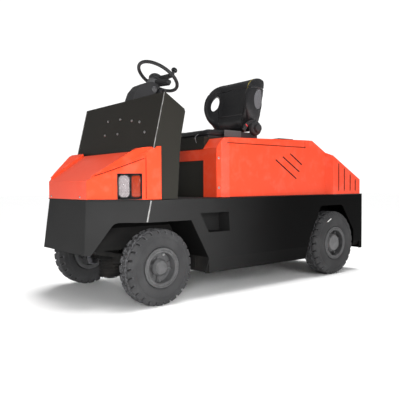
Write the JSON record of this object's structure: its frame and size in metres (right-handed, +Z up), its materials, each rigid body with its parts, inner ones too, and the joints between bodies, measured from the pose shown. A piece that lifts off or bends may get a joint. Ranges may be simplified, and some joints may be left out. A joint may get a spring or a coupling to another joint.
{
  "type": "baggage towing tractor",
  "caption": "Low electric airport baggage tug with a faceted hood, a standing-height steering wheel, one seat on the battery lid and a stepped tow coupling.",
  "frame": {"origin": "on the ground, under the middle of the vehicle's length and width", "axes": "+Z up, -Y ahead, +X to the driver's left"},
  "size_m": [1.243, 3.01, 1.8383],
  "materials": {
    "body_paint": "gloss paint",
    "chassis_paint": "satin paint",
    "dash_paint": "fine texture",
    "frame_paint": "matt paint",
    "rim_paint": "satin paint",
    "steel": "bare",
    "battery_block": "plain",
    "tyre_rubber": "matt",
    "black_plastic": "grained",
    "lamp_lens": "clear",
    "amber_lens": "clear coloured",
    "red_lens": "clear coloured",
    "seat_cover": "grained vinyl"
  },
  "bodies": {
    "chassis": {"nose_bumper": "chassis_paint", "side_plates": "chassis_paint", "step_pockets": "chassis_paint", "deck_plate": "chassis_paint", "chassis_beams": "frame_paint", "cross_members": "frame_paint", "battery_tray": "frame_paint", "arch_liners": "frame_paint", "rear_plate": "chassis_paint", "tow_coupling": "frame_paint", "front_axle": "frame_paint", "rear_axle": "frame_paint", "hood": "body_paint", "lamp_boxes": "black_plastic", "headlamps": "lamp_lens", "indicators": "amber_lens", "dash_shell": "dash_paint", "dash_panel": "dash_paint", "toe_board": "dash_paint", "pedals": "black_plastic", "column_cover": "black_plastic", "steering_column": "steel", "body_sides": "body_paint", "corner_boxes": "body_paint", "cross_bar": "body_paint", "bulkhead": "dash_paint", "battery": "battery_block", "rear_hood": "body_paint", "tail_lamps": "red_lens"},
    "knuckle_left": {"knuckle_left": "frame_paint"},
    "knuckle_right": {"knuckle_right": "frame_paint"},
    "tie_rod": {"tie_rod": "steel"},
    "front_wheel_left": {"front_tyre_left": "tyre_rubber", "front_rim_left": "rim_paint"},
    "front_wheel_right": {"front_tyre_right": "tyre_rubber", "front_rim_right": "rim_paint"},
    "rear_wheel_left": {"rear_tyre_left": "tyre_rubber", "rear_rim_left": "rim_paint"},
    "rear_wheel_right": {"rear_tyre_right": "tyre_rubber", "rear_rim_right": "rim_paint"},
    "steering_wheel": {"steering_wheel": "black_plastic"},
    "battery_cover": {"lid": "body_paint", "seat_deck": "dash_paint", "seat_pan": "black_plastic", "seat_cushion": "seat_cover", "top_vent": "black_plastic", "retractor": "black_plastic"},
    "backrest": {"backrest": "seat_cover"},
    "tow_pin": {"tow_pin": "steel"}
  },
  "joints": [
    {"name": "steer_left", "type": "hinge", "parent": "chassis", "child": "knuckle_left", "pos_m": [0.42, -1.048, 0.271], "axis": [0, 0, 1], "range_deg": [-35, 35]},
    {"name": "steer_right", "type": "hinge", "parent": "chassis", "child": "knuckle_right", "pos_m": [-0.42, -1.048, 0.271], "axis": [0, 0, 1], "range_deg": [-35, 35]},
    {"name": "tie_rod_swing", "type": "hinge", "parent": "knuckle_left", "child": "tie_rod", "pos_m": [0.42, -0.918, 0.252], "axis": [0, 0, 1], "range_deg": [-35, 35]},
    {"name": "steering_wheel_turn", "type": "hinge", "parent": "chassis", "child": "steering_wheel", "pos_m": [0.1, -0.716, 1.725], "axis": [0, 0.5519, 0.8339], "range_deg": [-525, 525]},
    {"name": "front_roll_left", "type": "hinge", "parent": "knuckle_left", "child": "front_wheel_left", "pos_m": [0.544, -1.048, 0.271], "axis": [1, 0, 0], "continuous": true},
    {"name": "front_roll_right", "type": "hinge", "parent": "knuckle_right", "child": "front_wheel_right", "pos_m": [-0.544, -1.048, 0.271], "axis": [1, 0, 0], "continuous": true},
    {"name": "rear_roll_left", "type": "hinge", "parent": "chassis", "child": "rear_wheel_left", "pos_m": [0.5335, 0.93, 0.296], "axis": [1, 0, 0], "continuous": true},
    {"name": "rear_roll_right", "type": "hinge", "parent": "chassis", "child": "rear_wheel_right", "pos_m": [-0.5335, 0.93, 0.296], "axis": [1, 0, 0], "continuous": true},
    {"name": "lid_open", "type": "hinge", "parent": "chassis", "child": "battery_cover", "pos_m": [0, 0.58, 1.251], "axis": [-1, 0, 0], "range_deg": [0, 60]},
    {"name": "backrest_recline", "type": "hinge", "parent": "battery_cover", "child": "backrest", "pos_m": [0.1, 0.125, 1.345], "axis": [-1, 0, 0], "range_deg": [0, 12]},
    {"name": "tow_pin_lift", "type": "slide", "parent": "chassis", "child": "tow_pin", "axis": [0, 0, 1], "range_m": [0, 0.18]}
  ],
  "couplings": [
    {"joint": "steer_right", "follows": "steer_left", "ratio": 1},
    {"joint": "tie_rod_swing", "follows": "steer_left", "ratio": -1},
    {"joint": "steering_wheel_turn", "follows": "steer_left", "ratio": 15}
  ]
}
